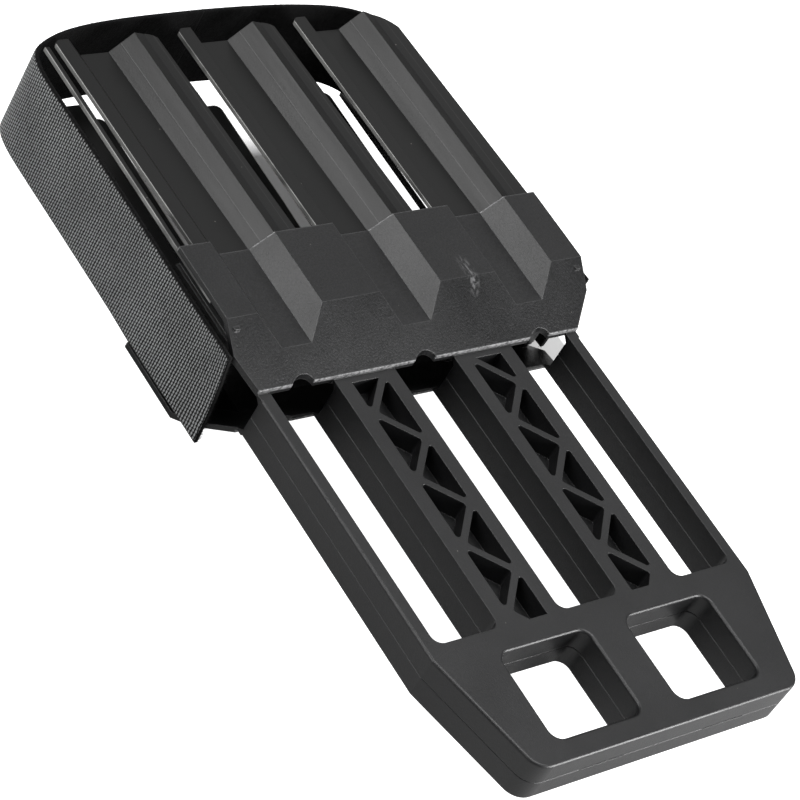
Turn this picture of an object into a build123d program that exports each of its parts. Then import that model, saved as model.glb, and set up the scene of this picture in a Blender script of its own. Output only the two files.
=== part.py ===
from build123d import *
import os

# Ribbed strike head on a slotted grip plate, closed round its edge by a hook-and-loop tape.
# Origin: middle of the near end face, on the joint plane between the two halves.
# +Y runs from the near end to the far end, +X to the right, +Z out of the front face.

# grip plate, each half as thick as plateHalf
plateWidth = 150.0
plateHalf = 9.15
plateEnd = 158.5
noseInset = 12.8
taperLength = 47.3
noseRadius = 8.0
rimRound = 1.1
seamBreak = 0.2

# near windows
middleRibHalf = 8.8
windowRim = 13.2
windowNear = 8.3
windowLength = 35.2
windowRadius = 4.5
crossBar = 9.0

# finger slots, with a truss bar on each side of the middle one
midSlotHalf = 14.0
trussWidth = 27.6
railWidth = 5.2
slotRadius = 4.0
slotMouthRadius = 6.25
slotMouthReach = 2.5

# triangular pockets of the two truss bars
trussInnerFlange = 6.0
trussOuterFlange = 6.5
pocketCount = 4
pocketStart = 4.45
strutBase = 2.3
strutTip = 2.6
pocketRadius = 1.2
pocketFloor = 1.0

# pry slits in the near end face, on the joint plane
slitWidth = 20.0
slitHalf = 0.35
slitDepth = 2.5

# locating pegs between the halves
pegRadius = 2.0
pegLength = 5.0
pegRoot = 1.0
pegClearance = 0.1
pegTipGap = 0.6
pegNearY = 14.0
pegNearInset = 5.2
pegOuterInset = 1.2
pegMiddleX = 5.0

# hook-and-loop tape
tapeWidth = 38.2
tapeThick = 2.0
hookThick = 1.6
tapeReach = 12.3
cornerRun = 24.0
shoulderIn = 22.0
shoulderDrop = 4.1
shoulderSlope = 0.16
leftEndLength = 32.0
rightEndLength = 24.0
peelBack = 15.0
peelGap = 0.4
peelClear = 0.3

# shell of the strike head, carried by each grip half
headOverhang = 8.0
shellWall = 2.2
stepLap = 2.3
stepRise = 1.65
rampLength = 21.2
shellFlat = 33.0
cornerRise = 10.9
tapeReveal = 6.8
grooveDepth = 7.6
grooveLeftGap = 0.1
grooveRightGap = 0.7
weld = 0.4

# ribbed leaf, its fingers set out from the left edge of the head
leafInset = 0.6
edgeMargin = 6.5
edgeStripWidth = 2.0
edgeStripShort = 2.0
fingerCount = 3
fingerGap = 7.9
lastStripExtra = 3.0
landWidth = 6.5
crestFall = 4.4
stripWidth = 6.7
coverLap = 1.1
leafWall = 1.5
leafLap = 23.0
leafReach = 101.5
tipDrop = 1.6
tipGrooveExtra = 1.4
tipEdgeShift = 1.6
tipLeftRadius = 3.0
tipRightRadius = 7.0
tipOuterRadius = 16.0

# the rear half is the front half turned over, with its ribs set this much further in
rearRibShift = 2.4

# side walls behind the tape
wallInset = 2.0
wallThick = 2.2
wallStart = 6.3
wallStop = 2.0
padRise = 1.4

# places that follow from the sizes above
noseHalf = plateWidth / 2 - noseInset
windowOuter = noseHalf - windowRim
windowFar = windowNear + windowLength
handleNearY = windowFar + crossBar
sideSlotInner = midSlotHalf + trussWidth
sideSlotOuter = plateWidth / 2 - railWidth
pocketInner = midSlotHalf + trussInnerFlange
pocketOuter = sideSlotInner - trussOuterFlange
pocketHeight = pocketOuter - pocketInner - strutTip
pocketFirst = handleNearY + pocketStart
pocketPitch = (plateEnd - pocketFirst) / (pocketCount - 0.5)
pocketHalfBase = (pocketPitch - strutBase) / 2
slitX = (middleRibHalf + windowOuter) / 2
barY = windowFar + crossBar / 2
pegSpots = [(noseHalf - pegNearInset, pegNearY), (noseHalf - pegOuterInset, barY), (pegMiddleX, barY)]

headHalfWidth = plateWidth / 2 + headOverhang
stepY = plateEnd + stepLap
rampEndY = stepY + rampLength
shellCornerY = stepY + cornerRise
shellEndY = rampEndY + shellFlat
shellTop = tapeWidth / 2 + tapeReveal

leafHalfWidth = headHalfWidth - leafInset
leafTop = shellTop - coverLap
leafRootY = shellEndY - leafLap
leafTipY = shellEndY + leafReach
fingerStart = edgeMargin - headHalfWidth
fingerPitch = (leafHalfWidth - fingerStart + fingerGap - lastStripExtra) / fingerCount
stripEnd = fingerPitch - fingerGap
flankEnd = stripEnd - stripWidth
floorEnd = flankEnd - crestFall - grooveDepth
grooveRight = floorEnd - grooveRightGap

wallFace = headHalfWidth - wallInset
wallNearY = shellCornerY + wallStart
wallFarY = shellEndY - wallStop
hookFace = wallFace + padRise + hookThick
outerTape = hookFace + tapeThick
peelY = shellEndY - peelBack
tapeLeftEndY = peelY - leftEndLength
tapeRightEndY = peelY - rightEndLength
tapeFarY = leafTipY + tapeReach
tapeCornerY = tapeFarY - cornerRun
beyond = 4 * leafTipY


def prism(points, low, high):
    face = make_face(Polyline(*points, close=True))
    return extrude(face, amount=high - low).moved(Location((0, 0, low)))


def alongY(points, near, far):
    # section drawn in X and Z, run from near to far
    face = make_face(Polyline(*[(x, near, z) for x, z in points], close=True))
    return extrude(face, amount=far - near, dir=(0, 1, 0))


def acrossX(points, half):
    # profile drawn in Y and Z, run across the width
    face = make_face(Polyline(*[(-half, y, z) for y, z in points], close=True))
    return extrude(face, amount=2 * half, dir=(1, 0, 0))


def roundedBox(x0, x1, y0, y1, radius, low, high):
    block = Box(x1 - x0, y1 - y0, high - low, align=(Align.MIN, Align.MIN, Align.MIN))
    block = fillet(block.edges().filter_by(Axis.Z), radius)
    return block.moved(Location((x0, y0, low)))


def sheetSection(top, thick):
    # closes an open run of points with a parallel run one thickness below
    below = []
    last = len(top) - 1
    for i in range(len(top)):
        here = Vector(top[i][0], top[i][1])
        before = here - Vector(top[i - 1][0], top[i - 1][1]) if i > 0 else None
        after = Vector(top[i + 1][0], top[i + 1][1]) - here if i < last else None
        first = (before if before is not None else after).normalized()
        second = (after if after is not None else before).normalized()
        mitre = Vector(first.Y + second.Y, -first.X - second.X).normalized()
        if i == 0 or i == last:
            below.append((here.X, here.Y - thick))
        else:
            reach = thick / (mitre.X * first.Y - mitre.Y * first.X)
            below.append((here.X + mitre.X * reach, here.Y + mitre.Y * reach))
    return list(top) + below[::-1]


def fingerRun(index, top, deep, width, ribShift):
    left = fingerStart + ribShift + index * fingerPitch
    landEnd = left + landWidth
    right = left + width
    if index == fingerCount - 1:
        right = leafHalfWidth - (stripEnd - width)
    return [
        (left, top),
        (landEnd, top),
        (landEnd + deep, top - deep),
        (left + floorEnd, top - deep),
        (left + floorEnd + grooveDepth, top),
        (left + flankEnd, top - coverLap),
        (right, top - coverLap),
    ]


def edgeRun(top, shift):
    left = -leafHalfWidth + shift
    return [(left, top - coverLap), (left + edgeStripWidth, top - coverLap)]


def loftY(nearPoints, nearY, farPoints, farY):
    near = make_face(Polyline(*[(x, nearY, z) for x, z in nearPoints], close=True))
    far = make_face(Polyline(*[(x, farY, z) for x, z in farPoints], close=True))
    return loft([near, far], ruled=True)


def makeLeaf(ribShift):
    run = edgeRun(leafTop, 0)
    for i in range(fingerCount):
        run = run + fingerRun(i, leafTop, grooveDepth, stripEnd, ribShift)
    leaf = alongY(sheetSection(run, leafWall), leafRootY, shellEndY)
    tipTop = leafTop - tipDrop
    tipDeep = grooveDepth + tipGrooveExtra
    edgeNear = sheetSection(edgeRun(leafTop, 0), leafWall)
    edgeFar = sheetSection(edgeRun(tipTop, tipEdgeShift), leafWall)
    leaf += loftY(edgeNear, shellEndY, edgeFar, leafTipY - edgeStripShort)
    for i in range(fingerCount):
        near = sheetSection(fingerRun(i, leafTop, grooveDepth, stripEnd, ribShift), leafWall)
        farRun = fingerRun(i, tipTop, tipDeep, stripEnd - tipEdgeShift, ribShift)
        far = sheetSection(farRun, leafWall)
        finger = loftY(near, shellEndY, far, leafTipY)
        left = fingerStart + ribShift + i * fingerPitch
        right = leafHalfWidth if i == fingerCount - 1 else left + stripEnd
        plan = Box(right - left, leafTipY - shellEndY, shellTop, align=(Align.MIN, Align.MIN, Align.MIN))
        plan = plan.moved(Location((left, shellEndY, 0)))
        corners = plan.edges().filter_by(Axis.Z).group_by(Axis.Y)[-1].sort_by(Axis.X)
        plan = fillet(corners[0], tipLeftRadius)
        corners = plan.edges().filter_by(Axis.Z).filter_by_position(Axis.X, right - 0.01, right + 0.01)
        bend = tipOuterRadius if i == fingerCount - 1 else tipRightRadius
        plan = fillet(corners.sort_by(Axis.Y)[-1], bend)
        leaf += finger & plan
    return leaf


def grooveCut(wall, ribShift):
    # the grooves of the shell, or with a wall the larger hollow ribs left below them
    tops = shellTop - wall
    floor = tops - grooveDepth
    spread = wall * (2 ** 0.5) - wall
    over = tapeReveal
    cuts = []
    for i in range(fingerCount):
        start = fingerStart + ribShift + i * fingerPitch
        left = start + landWidth + grooveLeftGap
        right = start + grooveRight
        cuts.append(
            alongY(
                [
                    (left - spread - over, tops + over),
                    (left - spread + grooveDepth, floor),
                    (right + spread, floor),
                    (right + spread + grooveDepth + over, tops + over),
                ],
                plateEnd - over,
                shellEndY + over,
            )
        )
    return cuts


def makeShell(ribShift):
    over = tapeReveal
    plan = prism(
        [
            (-plateWidth / 2, plateEnd - weld),
            (plateWidth / 2, plateEnd - weld),
            (plateWidth / 2, stepY),
            (headHalfWidth, shellCornerY),
            (headHalfWidth, shellEndY),
            (-headHalfWidth, shellEndY),
            (-headHalfWidth, shellCornerY),
            (-plateWidth / 2, stepY),
        ],
        0,
        shellTop + over,
    )
    rampFoot = plateHalf + stepRise
    slope = (shellTop - rampFoot) / (rampEndY - stepY)
    across = headHalfWidth + over
    outer = acrossX(
        [
            (plateEnd - weld, 0),
            (plateEnd - weld, plateHalf),
            (stepY, plateHalf),
            (stepY, rampFoot),
            (rampEndY, shellTop),
            (shellEndY, shellTop),
            (shellEndY, 0),
        ],
        across,
    )
    drop = shellWall * (1 + slope * slope) ** 0.5
    innerTop = shellTop - shellWall
    innerEnd = rampEndY + (drop - shellWall) / slope
    cavity = acrossX(
        [
            (plateEnd, -over),
            (plateEnd, rampFoot - drop - (stepY - plateEnd) * slope),
            (innerEnd, innerTop),
            (shellEndY + over, innerTop),
            (shellEndY + over, -over),
        ],
        across,
    )
    shell = outer & plan
    for cut in grooveCut(0, ribShift):
        shell -= cut
    for rib in grooveCut(shellWall, ribShift):
        cavity -= rib
    return shell - cavity


def makeSideWalls():
    walls = []
    for side in (-1, 1):
        top = shellTop - shellWall + weld
        x = side * (wallFace - wallThick / 2)
        y = (wallNearY + wallFarY) / 2
        long = wallFarY - wallNearY
        wall = Box(wallThick, long, top, align=(Align.CENTER, Align.CENTER, Align.MIN))
        walls.append(wall.moved(Location((x, y, 0))))
        pad = Box(padRise + weld, long, tapeWidth / 2, align=(Align.CENTER, Align.CENTER, Align.MIN))
        walls.append(pad.moved(Location((side * (wallFace + (padRise - weld) / 2), y, 0))))
    return walls


def trianglePocket(baseX, inward, y):
    corners = [
        (baseX, y - pocketHalfBase),
        (baseX, y + pocketHalfBase),
        (baseX + inward * pocketHeight, y),
    ]
    pocket = prism(corners, pocketFloor, 2 * plateHalf)
    return fillet(pocket.edges().filter_by(Axis.Z), pocketRadius)


def makePlate():
    outline = [
        (-noseHalf, 0),
        (noseHalf, 0),
        (plateWidth / 2, taperLength),
        (plateWidth / 2, plateEnd),
        (-plateWidth / 2, plateEnd),
        (-plateWidth / 2, taperLength),
    ]
    plate = prism(outline, 0, plateHalf)
    nose = plate.edges().filter_by(Axis.Z).group_by(Axis.Y)[0]
    plate = fillet(nose, noseRadius)
    for side in (-1, 1):
        x0, x1 = sorted((side * middleRibHalf, side * windowOuter))
        plate -= roundedBox(x0, x1, windowNear, windowFar, windowRadius, -plateHalf, 2 * plateHalf)
    rim = plate.edges().group_by(Axis.Z)[-1]
    rim = rim.filter_by(lambda e: e.center().Y < plateEnd - rimRound)
    plate = fillet(rim, rimRound)
    keep = Box(beyond, beyond, beyond, align=(Align.CENTER, Align.MIN, Align.CENTER))
    keep = keep.moved(Location((0, handleNearY, 0)))
    for side in (-1, 1):
        for i in range(pocketCount):
            y = pocketFirst + i * pocketPitch
            plate -= trianglePocket(side * pocketInner, side, y) & keep
            plate -= trianglePocket(side * pocketOuter, -side, y + pocketPitch / 2)
    return plate


def slotCutters():
    spans = [
        (-sideSlotOuter, -sideSlotInner),
        (-midSlotHalf, midSlotHalf),
        (sideSlotInner, sideSlotOuter),
    ]
    cutters = []
    for x0, x1 in spans:
        middle = (x0 + x1) / 2
        farY = stepY + 2 * slotRadius
        slot = roundedBox(x0, x1, handleNearY, farY, slotRadius, -plateHalf, plateHalf + 0.01)
        cutters.append(slot & Box(beyond, 2 * stepY, beyond))
        mouth = Cylinder(slotMouthRadius, 4 * plateHalf)
        cutters.append(mouth.moved(Location((middle, stepY + slotMouthReach - slotMouthRadius, plateHalf))))
    return cutters


def makeGrip(leaf, ribShift):
    grip = makePlate() + makeShell(ribShift)
    for cutter in slotCutters():
        grip -= cutter
    grip = chamfer(grip.edges().group_by(Axis.Z)[0], seamBreak)
    for wall in makeSideWalls():
        grip += wall
    for side in (-1, 1):
        slit = Box(slitWidth, 2 * slitDepth, 2 * slitHalf)
        grip -= slit.moved(Location((side * slitX, 0, 0)))
    for x, y in pegSpots:
        peg = Cylinder(pegRadius, pegLength + pegRoot)
        grip += peg.moved(Location((x, y, (pegRoot - pegLength) / 2)))
        socket = Cylinder(pegRadius + pegClearance, 2 * (pegLength + pegTipGap))
        grip -= socket.moved(Location((-x, y, 0)))
    return grip - leaf


def tapePath(offset):
    # centre of the tape in plan: up the left side, round the far end, down the right side
    side = outerTape - offset
    corner = Vector(side, tapeCornerY)
    bowEnd = Vector(side - shoulderIn, tapeFarY - shoulderDrop - offset)
    crown = Vector(0, tapeFarY - offset)
    return side, corner, bowEnd, crown


def tapeBand(near):
    outerSide, outerCorner, outerBow, outerCrown = tapePath(0)
    innerSide, innerCorner, innerBow, innerCrown = tapePath(tapeThick)

    def edge(side, corner, bow, crown):
        turn = Spline(
            (-corner.X, corner.Y),
            (-bow.X, bow.Y),
            tangents=[(0, 1), (1, shoulderSlope)],
        )
        bowArc = ThreePointArc((-bow.X, bow.Y), (crown.X, crown.Y), (bow.X, bow.Y))
        back = Spline((bow.X, bow.Y), (corner.X, corner.Y), tangents=[(1, -shoulderSlope), (0, -1)])
        return turn, bowArc, back

    outer = edge(outerSide, outerCorner, outerBow, outerCrown)
    innerEdge = edge(innerSide, innerCorner, innerBow, innerCrown)
    left = Polyline(
        (-innerCorner.X, innerCorner.Y),
        (-innerSide, near),
        (-outerSide, near),
        (-outerCorner.X, outerCorner.Y),
    )
    right = Polyline(
        (outerCorner.X, outerCorner.Y),
        (outerSide, near),
        (innerSide, near),
        (innerCorner.X, innerCorner.Y),
    )
    face = make_face([*outer, *innerEdge, *left.edges(), *right.edges()])
    return extrude(face, amount=tapeWidth).moved(Location((0, 0, -tapeWidth / 2)))


def tapeEnd(side, endY):
    length = peelY - peelGap - endY
    block = Box(tapeThick, length, tapeWidth)
    return block.moved(Location((side * (hookFace + peelClear + tapeThick / 2), endY + length / 2, 0)))


def hookPatch(side):
    patch = Box(hookThick, wallFarY - wallNearY, tapeWidth)
    x = side * (wallFace + padRise + hookThick / 2)
    return patch.moved(Location((x, (wallNearY + wallFarY) / 2, 0)))


os.makedirs("parts", exist_ok=True)

frontLeaf = makeLeaf(0)
frontGrip = makeGrip(frontLeaf, 0)
rearLeaf = makeLeaf(rearRibShift)
rearGrip = makeGrip(rearLeaf, rearRibShift)
turnOver = Rotation(0, 180, 0)

parts = {
    "front_grip": frontGrip,
    "rear_grip": turnOver * rearGrip,
    "front_leaf": frontLeaf,
    "rear_leaf": turnOver * rearLeaf,
    "hook_patch_left": hookPatch(-1),
    "hook_patch_right": hookPatch(1),
    "strap_band": tapeBand(peelY),
    "strap_end_left": tapeEnd(-1, tapeLeftEndY),
    "strap_end_right": tapeEnd(1, tapeRightEndY),
}

for name, shape in parts.items():
    solids = shape.solids()
    print(name, len(solids), round(shape.volume), [round(v, 2) for v in shape.bounding_box().min],
          [round(v, 2) for v in shape.bounding_box().max])
    export_step(shape, "parts/" + name + ".step")
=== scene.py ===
import math
import random
import bmesh
import bpy
from mathutils import Matrix, Vector


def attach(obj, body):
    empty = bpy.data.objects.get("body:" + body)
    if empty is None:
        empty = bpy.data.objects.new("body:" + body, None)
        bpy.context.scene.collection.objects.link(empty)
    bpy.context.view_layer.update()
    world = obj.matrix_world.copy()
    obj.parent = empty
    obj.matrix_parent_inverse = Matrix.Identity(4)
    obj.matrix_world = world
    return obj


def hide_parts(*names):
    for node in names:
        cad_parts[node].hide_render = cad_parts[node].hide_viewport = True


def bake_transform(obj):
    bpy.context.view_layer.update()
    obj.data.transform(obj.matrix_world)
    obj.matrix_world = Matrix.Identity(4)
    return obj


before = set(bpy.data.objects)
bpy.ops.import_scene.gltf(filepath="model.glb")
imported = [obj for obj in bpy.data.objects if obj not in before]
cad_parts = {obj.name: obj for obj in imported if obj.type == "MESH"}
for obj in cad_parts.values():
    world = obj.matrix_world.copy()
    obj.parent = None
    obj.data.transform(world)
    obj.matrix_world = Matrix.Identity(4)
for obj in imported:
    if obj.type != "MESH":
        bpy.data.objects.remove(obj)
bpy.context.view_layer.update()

mm = 0.001


# camera: a long lens from above, left of the near end

cameraSetup = {
    "place": (-0.674274, -0.275335, 0.663571),
    "right": (0.751364, -0.512045, 0.416247),
    "up": (0.155563, 0.750450, 0.642358),
    "lens": 132.45,
    "shiftX": 0.0086,
    "shiftY": -0.0059,
}


def makeCamera():
    lens = bpy.data.cameras.new("camera")
    lens.sensor_width = 36.0
    lens.lens = cameraSetup["lens"]
    lens.shift_x = cameraSetup["shiftX"]
    lens.shift_y = cameraSetup["shiftY"]
    lens.clip_start = 0.05
    lens.clip_end = 20.0
    camera = bpy.data.objects.new("camera", lens)
    bpy.context.scene.collection.objects.link(camera)
    right = Vector(cameraSetup["right"]).normalized()
    up = Vector(cameraSetup["up"]).normalized()
    back = right.cross(up).normalized()
    up = back.cross(right)
    turn = Matrix((right, up, back)).transposed()
    camera.matrix_world = Matrix.Translation(cameraSetup["place"]) @ turn.to_4x4()
    bpy.context.scene.camera = camera


makeCamera()
print("camera placed")


# small helpers for shader trees

def addNode(tree, kind, **values):
    node = tree.nodes.new(kind)
    for name, value in values.items():
        if hasattr(node, name) and name not in node.inputs:
            setattr(node, name, value)
        else:
            node.inputs[name].default_value = value
    return node


def link(tree, source, target):
    tree.links.new(source, target)


def math2(tree, operation, a, b=None, clamp=False):
    node = tree.nodes.new("ShaderNodeMath")
    node.operation = operation
    node.use_clamp = clamp
    for slot, value in ((0, a), (1, b)):
        if value is None:
            continue
        if isinstance(value, (int, float)):
            node.inputs[slot].default_value = value
        else:
            tree.links.new(value, node.inputs[slot])
    return node.outputs[0]


def mixColour(tree, factor, a, b, blend="MIX"):
    node = tree.nodes.new("ShaderNodeMix")
    node.data_type = "RGBA"
    node.blend_type = blend
    for slot, value in ((0, factor), (6, a), (7, b)):
        if isinstance(value, bpy.types.NodeSocket):
            tree.links.new(value, node.inputs[slot])
        elif slot == 0:
            node.inputs[slot].default_value = value
        else:
            node.inputs[slot].default_value = (*value, 1.0)
    return node.outputs[2]


def remap(tree, value, low, high, newLow=0.0, newHigh=1.0):
    node = tree.nodes.new("ShaderNodeMapRange")
    node.clamp = True
    tree.links.new(value, node.inputs["Value"])
    node.inputs["From Min"].default_value = low
    node.inputs["From Max"].default_value = high
    node.inputs["To Min"].default_value = newLow
    node.inputs["To Max"].default_value = newHigh
    return node.outputs["Result"]


def bandAt(tree, value, middle, reach):
    # 1 on the line, falling to 0 from the inner to the outer reach
    away = math2(tree, "ABSOLUTE", math2(tree, "SUBTRACT", value, middle))
    return remap(tree, away, *reach)


def noise(tree, vector, scale, detail=2.0, rough=0.5):
    node = tree.nodes.new("ShaderNodeTexNoise")
    node.inputs["Scale"].default_value = scale
    node.inputs["Detail"].default_value = detail
    node.inputs["Roughness"].default_value = rough
    tree.links.new(vector, node.inputs["Vector"])
    return node.outputs["Fac"]


def newGroup(name, inputs, outputs):
    tree = bpy.data.node_groups.new(name, "ShaderNodeTree")
    for label, kind, value in inputs:
        socket = tree.interface.new_socket(label, in_out="INPUT", socket_type=kind)
        if value is not None:
            socket.default_value = value
    for label, kind in outputs:
        tree.interface.new_socket(label, in_out="OUTPUT", socket_type=kind)
    return tree, tree.nodes.new("NodeGroupInput"), tree.nodes.new("NodeGroupOutput")


def useGroup(tree, group, **values):
    node = tree.nodes.new("ShaderNodeGroup")
    node.node_tree = group
    for name, value in values.items():
        label = name.replace("_", " ")
        if isinstance(value, bpy.types.NodeSocket):
            tree.links.new(value, node.inputs[label])
        else:
            node.inputs[label].default_value = value
    return node


def newMaterial(name, roughness, specular=0.5):
    material = bpy.data.materials.new(name)
    material.use_nodes = True
    tree = material.node_tree
    shader = tree.nodes["Principled BSDF"]
    shader.inputs["Roughness"].default_value = roughness
    shader.inputs["Specular IOR Level"].default_value = specular
    where = tree.nodes.new("ShaderNodeTexCoord")
    return material, tree, shader, where.outputs["Object"]


# edge wear and painted edge highlight: the rounded normal of each edge, and a mask that is bright
# along it, broken by chips

edgeSetup = {
    "turnLow": 0.995,
    "turnHigh": 0.86,
    "chipScale": 900.0,
    "chipLow": 0.42,
    "chipHigh": 0.62,
}


def makeEdgeGroup():
    values = edgeSetup
    tree, given, out = newGroup(
        "edgeWearAndHighlight",
        [("Radius", "NodeSocketFloat", 0.0004), ("Vector", "NodeSocketVector", None),
         ("Chipping", "NodeSocketFloat", 0.5)],
        [("Normal", "NodeSocketVector"), ("Edge", "NodeSocketFloat")],
    )
    bevel = tree.nodes.new("ShaderNodeBevel")
    bevel.samples = 4
    link(tree, given.outputs["Radius"], bevel.inputs["Radius"])
    plain = tree.nodes.new("ShaderNodeNewGeometry")
    dot = tree.nodes.new("ShaderNodeVectorMath")
    dot.operation = "DOT_PRODUCT"
    link(tree, bevel.outputs["Normal"], dot.inputs[0])
    link(tree, plain.outputs["Normal"], dot.inputs[1])
    turned = remap(tree, dot.outputs["Value"], values["turnLow"], values["turnHigh"])
    chips = noise(tree, given.outputs["Vector"], values["chipScale"], 3.0)
    chips = remap(tree, chips, values["chipLow"], values["chipHigh"])
    chips = math2(tree, "MULTIPLY", chips, given.outputs["Chipping"])
    solid = math2(tree, "SUBTRACT", 1.0, given.outputs["Chipping"])
    share = math2(tree, "ADD", chips, solid, clamp=True)
    link(tree, math2(tree, "MULTIPLY", turned, share), out.inputs["Edge"])
    link(tree, bevel.outputs["Normal"], out.inputs["Normal"])
    return tree


# spark texture: the fine pitting of an eroded mould

def makeSparkGroup():
    tree, given, out = newGroup(
        "sparkTexture",
        [("Vector", "NodeSocketVector", None), ("Scale", "NodeSocketFloat", 1500.0)],
        [("Height", "NodeSocketFloat"), ("Blotch", "NodeSocketFloat")],
    )
    fine = tree.nodes.new("ShaderNodeTexNoise")
    fine.inputs["Detail"].default_value = 4.0
    fine.inputs["Roughness"].default_value = 0.62
    link(tree, given.outputs["Vector"], fine.inputs["Vector"])
    link(tree, given.outputs["Scale"], fine.inputs["Scale"])
    link(tree, fine.outputs["Fac"], out.inputs["Height"])
    link(tree, noise(tree, given.outputs["Vector"], 38.0, 3.0), out.inputs["Blotch"])
    return tree


# dust: a few pale specks caught on the surface

dustSetup = {
    "cellScale": 260.0,
    "speckOuter": 0.07,
    "speckInner": 0.03,
    "share": 0.12,
}


def makeDustGroup():
    values = dustSetup
    tree, given, out = newGroup(
        "dust",
        [("Vector", "NodeSocketVector", None), ("Amount", "NodeSocketFloat", 0.5)],
        [("Specks", "NodeSocketFloat")],
    )
    cells = tree.nodes.new("ShaderNodeTexVoronoi")
    cells.inputs["Scale"].default_value = values["cellScale"]
    link(tree, given.outputs["Vector"], cells.inputs["Vector"])
    dot = remap(tree, cells.outputs["Distance"], values["speckOuter"], values["speckInner"])
    pick = tree.nodes.new("ShaderNodeSeparateColor")
    link(tree, cells.outputs["Color"], pick.inputs["Color"])
    rare = math2(tree, "MULTIPLY", given.outputs["Amount"], values["share"])
    rare = math2(tree, "LESS_THAN", pick.outputs[0], rare)
    link(tree, math2(tree, "MULTIPLY", dot, rare), out.inputs["Specks"])
    return tree


edgeGroup = makeEdgeGroup()
sparkGroup = makeSparkGroup()
dustGroup = makeDustGroup()


# grip plastic: black, fine spark texture on the plate, coarser on the head shells

gripFinish = {
    "colour": (0.0072, 0.0073, 0.0078),
    # grey used both for wear and for painted highlights
    "wornAndHighlightGrey": (0.30, 0.30, 0.305),
    "roughness": 0.46,
    "specular": 0.5,
    "edgeRadius": 0.45 * mm,
    "stepY": 160.8 * mm,
    "endY": 215.0 * mm,
    "shellHeight": 9.6 * mm,
    "plateGrain": 1500.0,
    "headGrain": 1350.0,
    "lipHighlightNear": (0.45 * mm, 0.1 * mm),
    "lipHighlightFar": (0.55 * mm, 0.15 * mm),
    "lipHighlightNoise": 620.0,
    "rubX": 28.5 * mm,
    "rubY": 183.5 * mm,
    "rubHalfX": (3.2 * mm, 0.4 * mm),
    "rubHalfY": (9.0 * mm, 3.0 * mm),
    "rubbed": 0.40,
    "dust": (0.3, 0.29, 0.27),
    "bump": 0.10 * mm,
    "headBump": 1.6,
}


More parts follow.
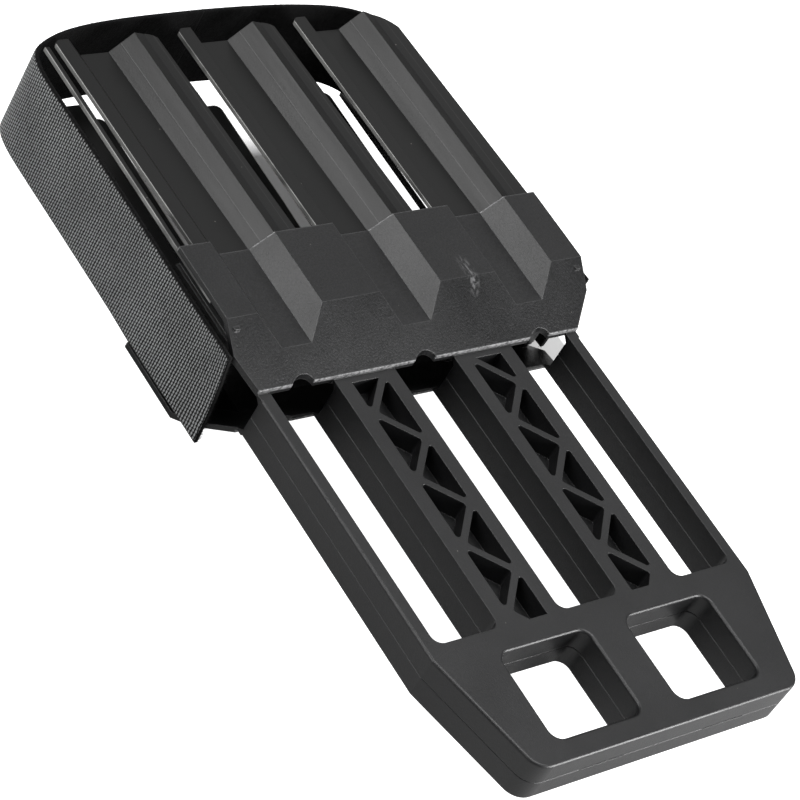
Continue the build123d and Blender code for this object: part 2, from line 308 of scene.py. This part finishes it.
def makeGripPlastic():
    values = gripFinish
    material, tree, shader, place = newMaterial("gripPlastic", values["roughness"],
                                                values["specular"])
    split = addNode(tree, "ShaderNodeSeparateXYZ")
    link(tree, place, split.inputs[0])
    y = split.outputs["Y"]
    z = math2(tree, "ABSOLUTE", split.outputs["Z"])
    overHead = math2(
        tree, "MULTIPLY",
        math2(tree, "GREATER_THAN", y, values["stepY"] - 0.3 * mm),
        math2(tree, "GREATER_THAN", z, values["shellHeight"]),
    )
    edge = useGroup(tree, edgeGroup, Radius=values["edgeRadius"], Vector=place, Chipping=0.35)
    spark = useGroup(tree, sparkGroup, Vector=place, Scale=values["plateGrain"])
    coarse = useGroup(tree, sparkGroup, Vector=place, Scale=values["headGrain"])
    dust = useGroup(tree, dustGroup, Vector=place, Amount=0.5)

    # the moulded step and the far lip get a painted highlight in broken chips, stronger on facets
    # that face the lamp on the left
    nearLipHighlight = bandAt(tree, y, values["stepY"], values["lipHighlightNear"])
    farLipHighlight = bandAt(tree, y, values["endY"], values["lipHighlightFar"])
    facing = addNode(tree, "ShaderNodeSeparateXYZ")
    link(tree, addNode(tree, "ShaderNodeNewGeometry").outputs["Normal"], facing.inputs[0])
    leftFacet = math2(tree, "LESS_THAN", facing.outputs["X"], -0.5)
    leftLitShare = math2(tree, "ADD", math2(tree, "MULTIPLY", leftFacet, 0.85), 0.15)
    farLipHighlight = math2(tree, "MULTIPLY", farLipHighlight, leftLitShare)
    lipHighlight = math2(tree, "MULTIPLY", math2(tree, "MAXIMUM", nearLipHighlight, farLipHighlight), overHead)
    broken = remap(tree, noise(tree, place, values["lipHighlightNoise"], 4.0, 0.75), 0.36, 0.58, 0.15, 1.0)
    lipHighlight = math2(tree, "MULTIPLY", lipHighlight, broken)
    # edges are lightened as chipped wear and as a painted edge highlight, more strongly on the head
    # shells
    edgeShare = math2(tree, "ADD", math2(tree, "MULTIPLY", overHead, 0.22), 0.10)
    wearAndHighlight = math2(tree, "MAXIMUM", lipHighlight, math2(tree, "MULTIPLY", edge.outputs["Edge"], edgeShare))

    blotch = remap(tree, coarse.outputs["Blotch"], 0.3, 0.7, 0.84, 1.18)
    grain = remap(tree, spark.outputs["Height"], 0.35, 0.65, 0.80, 1.22)
    pits = remap(tree, coarse.outputs["Height"], 0.38, 0.62, 0.25, 1.55)
    pits = math2(tree, "MULTIPLY", math2(tree, "SUBTRACT", pits, 1.0), overHead)
    pits = math2(tree, "ADD", pits, 1.0)
    tone = math2(tree, "MULTIPLY", math2(tree, "MULTIPLY", blotch, grain), pits)
    toned = addNode(tree, "ShaderNodeVectorMath", operation="SCALE")
    toned.inputs[0].default_value = values["colour"]
    link(tree, tone, toned.inputs["Scale"])
    # one rubbed patch on the front, drawn out along the head
    rubX = bandAt(tree, split.outputs["X"], values["rubX"], values["rubHalfX"])
    rubY = bandAt(tree, y, values["rubY"], values["rubHalfY"])
    smear = addNode(tree, "ShaderNodeMapping", vector_type="POINT", Scale=(1.0, 0.3, 1.0))
    link(tree, place, smear.inputs["Vector"])
    rubbed = remap(tree, noise(tree, smear.outputs[0], 900.0, 3.0, 0.6), 0.46, 0.62)
    rubbed = math2(tree, "MULTIPLY", rubbed, math2(tree, "MULTIPLY", rubX, rubY))
    front = math2(tree, "GREATER_THAN", split.outputs["Z"], 0.0)
    rubbed = math2(tree, "MULTIPLY", rubbed, front)
    wearAndHighlight = math2(tree, "MAXIMUM", wearAndHighlight, math2(tree, "MULTIPLY", rubbed, values["rubbed"]))
    # the grey carries the painted lip and edge highlights together with the edge wear and the
    # rubbed patch
    colour = mixColour(tree, wearAndHighlight, toned.outputs[0], values["wornAndHighlightGrey"])
    specks = math2(tree, "MULTIPLY", dust.outputs["Specks"], 0.5)
    colour = mixColour(tree, specks, colour, values["dust"])
    link(tree, colour, shader.inputs["Base Color"])

    rough = remap(tree, coarse.outputs["Blotch"], 0.3, 0.7, 0.35, 0.43)
    rough = math2(tree, "SUBTRACT", rough, math2(tree, "MULTIPLY", overHead, 0.04))
    link(tree, rough, shader.inputs["Roughness"])

    headHeight = math2(tree, "MULTIPLY", coarse.outputs["Height"], overHead)
    height = math2(tree, "ADD", spark.outputs["Height"],
                   math2(tree, "MULTIPLY", headHeight, values["headBump"]))
    bump = addNode(tree, "ShaderNodeBump", Strength=0.6, Distance=values["bump"])
    link(tree, height, bump.inputs["Height"])
    link(tree, edge.outputs["Normal"], bump.inputs["Normal"])
    link(tree, bump.outputs["Normal"], shader.inputs["Normal"])
    return material


# leaf plastic: smooth satin black with a fine line along each rib, the lines a painted highlight

leafFinish = {
    "colour": (0.0045, 0.0046, 0.0045),
    "roughness": 0.38,
    "specular": 0.38,
    "edgeRadius": 0.3 * mm,
    "fingerStart": -76.5 * mm,
    "fingerPitch": 54.6 * mm,
    "rearShift": 2.4 * mm,
    "stripEdge": 82.4 * mm,
    "tipShift": 1.6 * mm,
    "tipFrom": 215.0 * mm,
    "tipTo": 314.5 * mm,
    "slopeFrom": 27.5 * mm,
    "slopeTo": 35.8 * mm,
    "grain": 1300.0,
    # painted highlight colour of the fine lines
    "line": (0.16, 0.16, 0.16),
    # painted highlight colour for the finger and strip edges
    "rim": (0.34, 0.34, 0.33),
    "dust": (0.34, 0.32, 0.30),
    "facetHighlightLine": 31.6 * mm,
    "stripHighlightLine": 43.8 * mm,
}


def makeLeafPlastic():
    values = leafFinish
    material, tree, shader, place = newMaterial("leafPlastic", values["roughness"],
                                                values["specular"])
    split = addNode(tree, "ShaderNodeSeparateXYZ")
    link(tree, place, split.inputs[0])
    # across each finger from its left edge; the rear leaf is the same turned over
    side = math2(tree, "SIGN", split.outputs["Z"])
    across = math2(tree, "MULTIPLY", split.outputs["X"], side)
    across = math2(tree, "SUBTRACT", across, values["fingerStart"])
    rear = math2(tree, "LESS_THAN", split.outputs["Z"], 0.0)
    across = math2(tree, "SUBTRACT", across, math2(tree, "MULTIPLY", rear, values["rearShift"]))
    across = math2(tree, "MODULO", across, values["fingerPitch"])

    # the fine lines on the rib facet and on the base strip are a painted highlight, also bumped in
    # as a crease
    facetHighlightLine = bandAt(tree, across, values["facetHighlightLine"], (0.16 * mm, 0.056 * mm))
    stripHighlightLine = bandAt(tree, across, values["stripHighlightLine"], (0.14 * mm, 0.049 * mm))
    lineHighlights = math2(tree, "MAXIMUM", facetHighlightLine, math2(tree, "MULTIPLY", stripHighlightLine, 0.5))
    # painted highlight along the left edge of each finger and, below, along the outer edge of the
    # strip, broken into patches
    rim = remap(tree, math2(tree, "ABSOLUTE", across), 0.42 * mm, 0.30 * mm)
    # the edge strip draws in toward its tip
    drawIn = remap(tree, split.outputs["Y"], values["tipFrom"], values["tipTo"],
                   values["stripEdge"], values["stripEdge"] - values["tipShift"])
    outer = math2(tree, "ADD", math2(tree, "MULTIPLY", split.outputs["X"], side), drawIn)
    outerRimHighlight = remap(tree, math2(tree, "ABSOLUTE", outer), 0.45 * mm, 0.33 * mm)
    rim = math2(tree, "MAXIMUM", rim, outerRimHighlight)
    rimPatches = remap(tree, noise(tree, place, 60.0, 2.0), 0.35, 0.55, 0.35, 1.0)
    rim = math2(tree, "MULTIPLY", rim, rimPatches)
    edge = useGroup(tree, edgeGroup, Radius=values["edgeRadius"], Vector=place, Chipping=0.2)
    spark = useGroup(tree, sparkGroup, Vector=place, Scale=values["grain"])
    dust = useGroup(tree, dustGroup, Vector=place, Amount=0.8)
    drawn = addNode(tree, "ShaderNodeMapping", vector_type="POINT", Scale=(60.0, 4.0, 60.0))
    link(tree, place, drawn.inputs["Vector"])
    streak = noise(tree, drawn.outputs[0], 6.0, 3.0)

    tone = math2(tree, "MULTIPLY", remap(tree, streak, 0.3, 0.7, 0.9, 1.12),
                 remap(tree, spark.outputs["Blotch"], 0.3, 0.7, 0.92, 1.1))
    toned = addNode(tree, "ShaderNodeVectorMath", operation="SCALE")
    toned.inputs[0].default_value = values["colour"]
    link(tree, tone, toned.inputs["Scale"])
    colour = mixColour(tree, math2(tree, "MULTIPLY", lineHighlights, 0.30), toned.outputs[0], values["line"])
    # mix in the painted edge highlight
    colour = mixColour(tree, math2(tree, "MULTIPLY", rim, 0.8), colour, values["rim"])
    specks = math2(tree, "MULTIPLY", dust.outputs["Specks"], 0.6)
    colour = mixColour(tree, specks, colour, values["dust"])
    link(tree, colour, shader.inputs["Base Color"])
    link(tree, remap(tree, streak, 0.3, 0.7, 0.31, 0.38), shader.inputs["Roughness"])
    # the left slope of each rib is grained, the rest is smooth
    slope = math2(tree, "MULTIPLY", math2(tree, "GREATER_THAN", across, values["slopeFrom"]),
                  math2(tree, "LESS_THAN", across, values["slopeTo"]))
    grained = math2(tree, "ADD", math2(tree, "MULTIPLY", slope, 1.4), 0.2)
    height = math2(tree, "ADD", math2(tree, "MULTIPLY", spark.outputs["Height"], grained),
                   math2(tree, "MULTIPLY", lineHighlights, 0.6))
    bump = addNode(tree, "ShaderNodeBump", Strength=0.5, Distance=0.06 * mm)
    link(tree, height, bump.inputs["Height"])
    link(tree, edge.outputs["Normal"], bump.inputs["Normal"])
    link(tree, bump.outputs["Normal"], shader.inputs["Normal"])
    return material


# tape weave: ribs across the tape, each a run of short raised floats, staggered from rib to rib

weaveSetup = {
    "wobbleScale": 0.35,
    "sway": 0.55,
    "fuzzScale": 7.0,
    "fuzzRise": 0.35,
    "uneven": 0.8,
}


def makeWeaveGroup():
    values = weaveSetup
    tree, given, out = newGroup(
        "tapeWeave",
        [("Vector", "NodeSocketVector", None)],
        [("Height", "NodeSocketFloat"), ("Gap", "NodeSocketFloat"), ("Yarn", "NodeSocketFloat")],
    )
    split = tree.nodes.new("ShaderNodeSeparateXYZ")
    link(tree, given.outputs["Vector"], split.inputs[0])
    rib, cell = split.outputs["X"], split.outputs["Y"]
    wobble = noise(tree, given.outputs["Vector"], values["wobbleScale"], 2.0)
    sway = math2(tree, "MULTIPLY", math2(tree, "SUBTRACT", wobble, 0.5), values["sway"])
    rib = math2(tree, "ADD", rib, sway)
    across = math2(tree, "SUBTRACT", math2(tree, "FRACT", rib), 0.5)
    crown = math2(tree, "COSINE", math2(tree, "MULTIPLY", across, math.tau))
    crown = remap(tree, crown, -0.9, 1.0)
    shift = math2(tree, "MULTIPLY", math2(tree, "FLOOR", rib), 0.5)
    along = math2(tree, "FRACT", math2(tree, "ADD", cell, shift))
    swell = math2(tree, "SINE", math2(tree, "MULTIPLY", along, math.pi))
    swell = remap(tree, swell, 0.15, 0.9, 0.42, 1.0)
    height = math2(tree, "MULTIPLY", crown, swell)
    fuzz = noise(tree, given.outputs["Vector"], values["fuzzScale"], 3.0, 0.7)
    raised = math2(tree, "ADD", height, math2(tree, "MULTIPLY", fuzz, values["fuzzRise"]))
    link(tree, raised, out.inputs["Height"])
    uneven = math2(tree, "MULTIPLY", math2(tree, "SUBTRACT", fuzz, 0.5), values["uneven"])
    link(tree, remap(tree, math2(tree, "ADD", height, uneven), 0.66, 0.36), out.inputs["Gap"])
    link(tree, fuzz, out.inputs["Yarn"])
    return tree


weaveGroup = makeWeaveGroup()

tapeFinish = {
    "yarn": (0.36, 0.368, 0.372),
    "gap": (0.004, 0.004, 0.004),
    "pile": (0.0028, 0.0028, 0.003),
    "halfWidth": 19.1 * mm,
}


def makeTapeWoven():
    material, tree, shader, place = newMaterial("tapeWoven", 0.86, 0.12)
    shader.inputs["Sheen Weight"].default_value = 0.12
    shader.inputs["Sheen Roughness"].default_value = 0.5
    grid = addNode(tree, "ShaderNodeUVMap", uv_map="UVMap")
    weave = useGroup(tree, weaveGroup, Vector=grid.outputs["UV"])
    patchy = noise(tree, place, 55.0, 3.0)
    tone = math2(tree, "MULTIPLY", remap(tree, weave.outputs["Yarn"], 0.3, 0.7, 0.55, 1.35),
                 remap(tree, patchy, 0.3, 0.7, 0.85, 1.15))
    toned = addNode(tree, "ShaderNodeVectorMath", operation="SCALE")
    toned.inputs[0].default_value = tapeFinish["yarn"]
    link(tree, tone, toned.inputs["Scale"])
    colour = mixColour(tree, weave.outputs["Gap"], toned.outputs[0], tapeFinish["gap"])
    # the pile creeps over both long edges in a ragged band
    split = addNode(tree, "ShaderNodeSeparateXYZ")
    link(tree, place, split.inputs[0])
    inside = math2(tree, "ABSOLUTE", split.outputs["Z"])
    inside = math2(tree, "SUBTRACT", tapeFinish["halfWidth"], inside)
    ragged = math2(tree, "MULTIPLY", noise(tree, place, 700.0, 4.0, 0.7), 1.3 * mm)
    creep = remap(tree, math2(tree, "SUBTRACT", inside, ragged), 0.0, -0.4 * mm)
    colour = mixColour(tree, creep, colour, tapeFinish["pile"])
    link(tree, colour, shader.inputs["Base Color"])
    bump = addNode(tree, "ShaderNodeBump", Strength=0.9, Distance=0.3 * mm)
    link(tree, weave.outputs["Height"], bump.inputs["Height"])
    link(tree, bump.outputs["Normal"], shader.inputs["Normal"])
    return material


def makeTapePile():
    material, tree, shader, place = newMaterial("tapePile", 0.95, 0.1)
    shader.inputs["Sheen Weight"].default_value = 0.03
    shader.inputs["Sheen Roughness"].default_value = 0.6
    curl = noise(tree, place, 1500.0, 4.0, 0.7)
    clump = noise(tree, place, 420.0, 2.0)
    tone = math2(tree, "MULTIPLY", remap(tree, curl, 0.35, 0.7, 0.4, 2.0),
                 remap(tree, clump, 0.3, 0.7, 0.7, 1.3))
    toned = addNode(tree, "ShaderNodeVectorMath", operation="SCALE")
    toned.inputs[0].default_value = tapeFinish["pile"]
    link(tree, tone, toned.inputs["Scale"])
    link(tree, toned.outputs[0], shader.inputs["Base Color"])
    bump = addNode(tree, "ShaderNodeBump", Strength=1.0, Distance=0.4 * mm)
    link(tree, math2(tree, "ADD", curl, clump), bump.inputs["Height"])
    link(tree, bump.outputs["Normal"], shader.inputs["Normal"])
    return material


gripPlastic = makeGripPlastic()
leafPlastic = makeLeafPlastic()
tapeWoven = makeTapeWoven()
tapePile = makeTapePile()

for node, material in (("front_grip", gripPlastic), ("rear_grip", gripPlastic),
                       ("front_leaf", leafPlastic), ("rear_leaf", leafPlastic)):
    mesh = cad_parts[node].data
    if not mesh.materials:
        mesh.materials.append(material)
    for i in range(len(mesh.materials)):
        mesh.materials[i] = material
print("plastics done")


# hook-and-loop tape: a flat woven strip, laid round the head on its path

tapeSetup = {
    "width": 38.2 * mm,
    "thick": 1.7 * mm,
    "ribPitch": 1.25 * mm,
    "cellPitch": 1.55 * mm,
    "ribRise": 0.13 * mm,
    "rows": 50,
    "peelX": 86.3 * mm,
    "peelFrom": 201.5 * mm,
    "peelTo": 196.5 * mm,
    "headMiddleY": 240.0 * mm,
    "slantRun": 30.0 * mm,
    "slant": -2.6 * mm,
    "bow": 0.8 * mm,
    "edgeFall": 1.2 * mm,
    "edgeDrop": 0.35 * mm,
}


def tapeLine(side):
    # outer face in plan, from the crown of the far end down one side to its cut end
    points = [(0.0, 329.2), (24.0, 329.0)]
    if side < 0:
        points += [(44.0, 328.2), (60.0, 326.3), (70.0, 323.8), (77.5, 320.6), (82.8, 317.0),
                   (85.4, 311.5), (86.4, 304.0), (86.5, 294.0), (86.4, 280.0), (86.3, 262.0),
                   (86.2, 240.0), (86.3, 222.0), (86.5, 206.0), (86.4, 194.0), (86.3, 184.0),
                   (86.2, 175.0), (86.2, 168.0)]
    else:
        points += [(44.0, 327.6), (60.0, 325.2), (69.0, 322.5), (76.0, 318.2), (80.5, 312.0),
                   (83.2, 304.0), (84.9, 294.0), (85.7, 280.0), (86.0, 262.0), (86.0, 240.0),
                   (86.0, 222.0), (86.0, 206.0), (86.0, 194.0), (86.5, 188.0), (87.0, 182.0),
                   (87.4, 176.0)]
    return [Vector((side * x * mm, y * mm, 0.0)) for x, y in points]


def smoothLine(points):
    curve = bpy.data.curves.new("line", "CURVE")
    spline = curve.splines.new("NURBS")
    spline.points.add(len(points) - 1)
    for control, place in zip(spline.points, points):
        control.co = (*place, 1.0)
    spline.order_u = 4
    spline.use_endpoint_u = True
    spline.resolution_u = 24
    carrier = bpy.data.objects.new("line", curve)
    mesh = bpy.data.meshes.new_from_object(carrier)
    line = [v.co.copy() for v in mesh.vertices]
    bpy.data.meshes.remove(mesh)
    bpy.data.objects.remove(carrier)
    bpy.data.curves.remove(curve)
    return line


class TapeRun:
    def __init__(self, line):
        self.line = line
        self.marks = [0.0]
        for a, b in zip(line, line[1:]):
            self.marks.append(self.marks[-1] + (b - a).length)
        self.length = self.marks[-1]
        self.step = 0

    def at(self, distance):
        # place and direction at a distance along the line
        while self.step > 0 and self.marks[self.step] > distance:
            self.step -= 1
        while self.step < len(self.marks) - 2 and self.marks[self.step + 1] < distance:
            self.step += 1
        a, b = self.line[self.step], self.line[self.step + 1]
        start, end = self.marks[self.step], self.marks[self.step + 1]
        share = (distance - start) / (end - start)
        before = self.line[max(self.step - 1, 0)]
        after = self.line[min(self.step + 2, len(self.line) - 1)]
        way = (b - before).normalized().lerp((after - a).normalized(), share).normalized()
        return a + (b - a) * share, way


def outward(place, way):
    # square to the tape, away from the middle of the head
    out = Vector((way.y, -way.x, 0.0))
    away = Vector((place.x, place.y - tapeSetup["headMiddleY"], 0.0))
    return -out if out.dot(away) < 0 else out


def cutSlant(side, along, across, length):
    # the left cut end is a little slanted and bowed
    if side > 0:
        return 0.0
    values = tapeSetup
    nearEnd = max(0.0, (along - length + values["slantRun"]) / values["slantRun"])
    share = across / (values["width"] / 2)
    return nearEnd ** 2 * (values["slant"] * share + (1 - share ** 2) * values["bow"])


def followPeel(piece):
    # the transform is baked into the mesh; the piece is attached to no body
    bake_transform(piece)


def layTape(name, side, endNode):
    values = tapeSetup
    run = TapeRun(smoothLine(tapeLine(side)))
    ribs = round(run.length / values["ribPitch"])
    columns = ribs * 2
    mesh = bmesh.new()
    uv = mesh.loops.layers.uv.new("UVMap")
    bmesh.ops.create_grid(mesh, x_segments=columns, y_segments=values["rows"], size=0.5)
    for vert in mesh.verts:
        vert.co = Vector(((vert.co.x + 0.5) * run.length, vert.co.y * values["width"], 0.0))
    top = list(mesh.faces)
    lower = bmesh.ops.duplicate(mesh, geom=mesh.verts[:] + mesh.edges[:] + mesh.faces[:])["geom"]
    low = [f for f in lower if isinstance(f, bmesh.types.BMFace)]
    for vert in {v for f in low for v in f.verts}:
        vert.co.z = -values["thick"]
    bmesh.ops.reverse_faces(mesh, faces=low)
    edges = [e for e in mesh.edges if e.is_boundary]
    bmesh.ops.bridge_loops(mesh, edges=edges)
    for face in mesh.faces:
        face.smooth = True
        face.material_index = 1
    for face in top:
        face.material_index = 0
    for face in mesh.faces:
        for loop in face.loops:
            flat = loop.vert.co
            loop[uv].uv = (flat.x / values["ribPitch"], flat.y / values["cellPitch"])
    pitch = run.length / ribs
    half = values["width"] / 2
    for vert in mesh.verts:
        along, across, depth = vert.co
        place, way = run.at(min(max(along, 0.0), run.length))
        out = outward(place, way)
        rise = 0.0
        if depth > -0.5 * values["thick"]:
            rib = along / pitch
            phase = across / values["cellPitch"] + 0.5 * math.floor(rib + 0.25)
            wave = math.cos(rib * math.tau) * 0.6 + 0.4 * math.cos(phase * math.tau)
            edgeShare = min(1.0, (half - abs(across)) / values["edgeFall"])
            rise = values["ribRise"] * wave * edgeShare
            rise -= (1 - edgeShare) ** 2 * values["edgeDrop"]
        slant = cutSlant(side, along, across, run.length)
        vert.co = place + out * (depth + rise) + way * slant
        vert.co.z = across
    bmesh.ops.recalc_face_normals(mesh, faces=mesh.faces)
    data = bpy.data.meshes.new(name)
    mesh.to_mesh(data)
    mesh.free()
    data.materials.append(tapeWoven)
    data.materials.append(tapePile)
    piece = bpy.data.objects.new(name, data)
    bpy.context.scene.collection.objects.link(piece)
    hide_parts("strap_band", endNode)
    followPeel(piece)
    print(name, round(run.length, 4), len(data.polygons))


layTape("tape_left", -1, "strap_end_left")
layTape("tape_right", 1, "strap_end_right")
print("tape laid")


# fine fibres: each path becomes one thin four-sided strand of a single mesh

def makeFibres(name, paths, thickness, material):
    curve = bpy.data.curves.new(name, "CURVE")
    curve.dimensions = "3D"
    curve.bevel_depth = thickness / 2
    curve.bevel_resolution = 0
    for path in paths:
        spline = curve.splines.new("POLY")
        spline.points.add(len(path) - 1)
        for control, place in zip(spline.points, path):
            control.co = (*place, 1.0)
    carrier = bpy.data.objects.new(name, curve)
    data = bpy.data.meshes.new_from_object(carrier)
    bpy.data.objects.remove(carrier)
    bpy.data.curves.remove(curve)
    data.name = name
    data.materials.clear()
    data.materials.append(material)
    for face in data.polygons:
        face.material_index = 0
    piece = bpy.data.objects.new(name, data)
    bpy.context.scene.collection.objects.link(piece)
    return piece


# pile: curled tufts standing off the long edges and the cut end of the tape

pileSetup = {
    "perMetre": 3600,
    "length": (0.5 * mm, 1.5 * mm),
    "thickness": 0.09 * mm,
    "inset": (0.1 * mm, 0.9 * mm),
    "topShare": 0.7,
    "endTufts": 420,
}


def makePile(name, side, endNode):
    values = pileSetup
    chance = random.Random(7 if side < 0 else 11)
    run = TapeRun(smoothLine(tapeLine(side)))
    half = tapeSetup["width"] / 2
    paths = []
    for i in range(round(run.length * values["perMetre"])):
        along = chance.uniform(0.5 * mm, run.length - 4 * mm)
        place, way = run.at(along)
        out = outward(place, way)
        top = 1 if chance.random() < values["topShare"] else -1
        depth = chance.uniform(-tapeSetup["thick"], -0.1 * mm)
        inset = chance.uniform(*values["inset"])
        base = place + out * depth + Vector((0, 0, top * (half - inset)))
        length = chance.uniform(*values["length"])
        lean = way * chance.uniform(-1.0, 1.0) + out * chance.uniform(-0.7, 0.45)
        lean += Vector((0, 0, top * 0.9))
        curl = way * chance.uniform(-1.0, 1.0) + out * chance.uniform(-0.9, 0.5)
        lean.normalize()
        paths.append([base, base + lean * length * 0.45,
                      base + (lean * 0.8 + curl * 0.35) * length])
    for i in range(values["endTufts"]):
        along = run.length - chance.uniform(0.1, 1.2) * mm
        across = chance.uniform(-half, half) * 0.98
        place, way = run.at(along)
        out = Vector((side, 0.0, 0.0))
        base = place + way * cutSlant(side, along, across, run.length)
        base = base - out * chance.uniform(0.7, 1.0) * tapeSetup["thick"] + Vector((0, 0, across))
        length = chance.uniform(*values["length"])
        lean = way * chance.uniform(0.3, 1.0) - out * chance.uniform(0.2, 1.0)
        lean = (lean + Vector((0, 0, chance.uniform(-0.8, 0.8)))).normalized()
        curl = Vector((0, 0, chance.uniform(-1.0, 1.0))) - out * chance.uniform(0.0, 1.0)
        paths.append([base, base + lean * length * 0.5,
                      base + (lean * 0.8 + curl * 0.4) * length])
    piece = makeFibres(name, paths, values["thickness"], tapePile)
    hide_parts("strap_band", endNode)
    followPeel(piece)
    print(name, len(paths), len(piece.data.polygons))


makePile("tape_pile_left", -1, "strap_end_left")
makePile("tape_pile_right", 1, "strap_end_right")


# hook tape: a thin base on the side wall with rows of bent hooks

hookSetup = {
    "face": 82.4 * mm,
    "base": 0.45 * mm,
    "nearY": 178.0 * mm,
    "farY": 213.0 * mm,
    "halfHeight": 19.1 * mm,
    "pitch": 1.45 * mm,
    "reach": 1.0 * mm,
    "thickness": 0.2 * mm,
    "corner": 1.2 * mm,
    "margin": 2.0 * mm,
    "sway": 0.1,
    "bend": 0.8 * mm,
    "lean": 0.3 * mm,
}


def makeHookNylon():
    material, tree, shader, place = newMaterial("hookNylon", 0.42, 0.5)
    shade = remap(tree, noise(tree, place, 300.0, 2.0), 0.3, 0.7, 0.008, 0.016)
    tint = addNode(tree, "ShaderNodeCombineColor")
    for slot in range(3):
        link(tree, shade, tint.inputs[slot])
    link(tree, tint.outputs[0], shader.inputs["Base Color"])
    return material


hookNylon = makeHookNylon()


def makeHookPatch(name, side, node):
    values = hookSetup
    long = values["farY"] - values["nearY"]
    middle = Vector((side * (values["face"] + values["base"] / 2),
                     (values["nearY"] + values["farY"]) / 2, 0.0))
    mesh = bmesh.new()
    bmesh.ops.create_cube(mesh, size=1.0)
    bmesh.ops.scale(mesh, vec=(values["base"], long, 2 * values["halfHeight"]), verts=mesh.verts)
    bmesh.ops.translate(mesh, vec=middle, verts=mesh.verts)
    through = [e for e in mesh.edges
               if abs(e.verts[0].co.x - e.verts[1].co.x) > 0.5 * values["base"]]
    bmesh.ops.bevel(mesh, geom=through, offset=values["corner"], segments=4, profile=0.5,
                    affect="EDGES", material=-1)
    bmesh.ops.recalc_face_normals(mesh, faces=mesh.faces)
    data = bpy.data.meshes.new(name)
    mesh.to_mesh(data)
    mesh.free()
    data.materials.append(hookNylon)
    base = bpy.data.objects.new(name, data)
    bpy.context.scene.collection.objects.link(base)

    chance = random.Random(3 if side < 0 else 5)
    rows = int((long - values["margin"]) / values["pitch"])
    columns = int((2 * values["halfHeight"] - values["margin"]) / values["pitch"])
    sway = values["sway"]
    shape = [(0.0, 0.0), (0.55, 0.05), (0.92, 0.3), (0.95, 0.6), (0.7, 0.82)]
    paths = []
    for row in range(rows + 1):
        turn = 1 if row % 2 else -1
        for column in range(columns + 1):
            y = middle.y + (row - rows / 2) * values["pitch"] + chance.uniform(-sway, sway) * mm
            z = (column - columns / 2) * values["pitch"] + chance.uniform(-sway, sway) * mm
            foot = values["face"] + values["base"] * 0.6
            tall = values["reach"] * chance.uniform(0.9, 1.0)
            paths.append([(side * (foot + rise * tall), y,
                           z + turn * over * values["bend"] - turn * values["lean"])
                          for rise, over in shape])
    hooks = makeFibres(name + "_hooks", paths, values["thickness"], hookNylon)
    for piece in (base, hooks):
        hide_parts(node)
        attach(piece, "frame")
    print(name, len(paths), len(hooks.data.polygons))


makeHookPatch("hook_left", -1, "hook_patch_left")
makeHookPatch("hook_right", 1, "hook_patch_right")


# floor and light

stageSetup = {
    "floorZ": -26.2 * mm,
    "floorSize": 12.0,
    "floorMiddleY": 0.15,
    "floorColour": (0.48, 0.48, 0.48),
    "floorLift": 1.2,
    "shades": [
        # middle, half size, soft edge: the glow fades out under the head
        ((0.0, 258.0 * mm), (40.0 * mm, 34.0 * mm), 14 * mm),
        ((96.0 * mm, 184.0 * mm), (9.0 * mm, 10.0 * mm), 2 * mm),
    ],
    "world": (1.0, 1.0, 1.0),
    "worldStrength": 0.15,
    "aim": (0.0, 0.17, 0.0),
    "lowAim": (0.12, -0.10, -26.2 * mm),
    "lamps": [
        # name, place, size, power
        ("overhead", (0.2, 0.1, 2.2), (1.5, 1.5), 42.0),
        ("left", (-1.41, 1.1, 1.41), (1.6, 1.2), 28.0),
        ("near", (1.2, -1.6, 0.7), (1.4, 1.0), 14.0),
        ("low", (0.30, -0.38, 0.14), (0.3, 0.3), 4.5),
        ("far", (1.45, 1.05, 1.45), (1.6, 1.6), 3.5),
    ],
}


def makeStage():
    values = stageSetup
    floorMesh = bmesh.new()
    bmesh.ops.create_grid(floorMesh, x_segments=1, y_segments=1, size=values["floorSize"] / 2)
    data = bpy.data.meshes.new("floor")
    floorMesh.to_mesh(data)
    floorMesh.free()
    data.transform(Matrix.Translation((0.0, values["floorMiddleY"], values["floorZ"])))
    floor = bpy.data.objects.new("floor", data)
    bpy.context.scene.collection.objects.link(floor)
    paint, tree, shader, place = newMaterial("floorPaint", 0.9, 0.1)
    shader.inputs["Base Color"].default_value = (*values["floorColour"], 1.0)
    shader.inputs["Emission Color"].default_value = (1.0, 1.0, 1.0, 1.0)
    seen = addNode(tree, "ShaderNodeLightPath").outputs["Is Camera Ray"]
    split = addNode(tree, "ShaderNodeSeparateXYZ")
    link(tree, place, split.inputs[0])
    glow = seen
    for middles, halves, soft in values["shades"]:
        dim = 1.0
        for axis, middle, half in zip(("X", "Y"), middles, halves):
            away = math2(tree, "ABSOLUTE", math2(tree, "SUBTRACT", split.outputs[axis], middle))
            dim = math2(tree, "MULTIPLY", remap(tree, away, half + soft, half), dim)
        glow = math2(tree, "MULTIPLY", glow, math2(tree, "SUBTRACT", 1.0, dim))
    glow = math2(tree, "MULTIPLY", glow, values["floorLift"])
    link(tree, glow, shader.inputs["Emission Strength"])
    data.materials.append(paint)

    world = bpy.data.worlds.new("studio")
    world.use_nodes = True
    back = world.node_tree.nodes["Background"]
    back.inputs["Color"].default_value = (*values["world"], 1.0)
    back.inputs["Strength"].default_value = values["worldStrength"]
    bpy.context.scene.world = world

    for name, place, size, power in values["lamps"]:
        light = bpy.data.lights.new(name, "AREA")
        light.shape = "RECTANGLE"
        light.size, light.size_y = size
        light.energy = power
        lamp = bpy.data.objects.new(name, light)
        lamp.location = place
        # the low lamp only lights the floor by the near end
        toward = Vector(values["lowAim"] if name == "low" else values["aim"])
        lamp.rotation_euler = (toward - Vector(place)).to_track_quat("-Z", "Y").to_euler()
        bpy.context.scene.collection.objects.link(lamp)


makeStage()
bpy.context.scene.view_settings.view_transform = "Standard"
print("stage done")
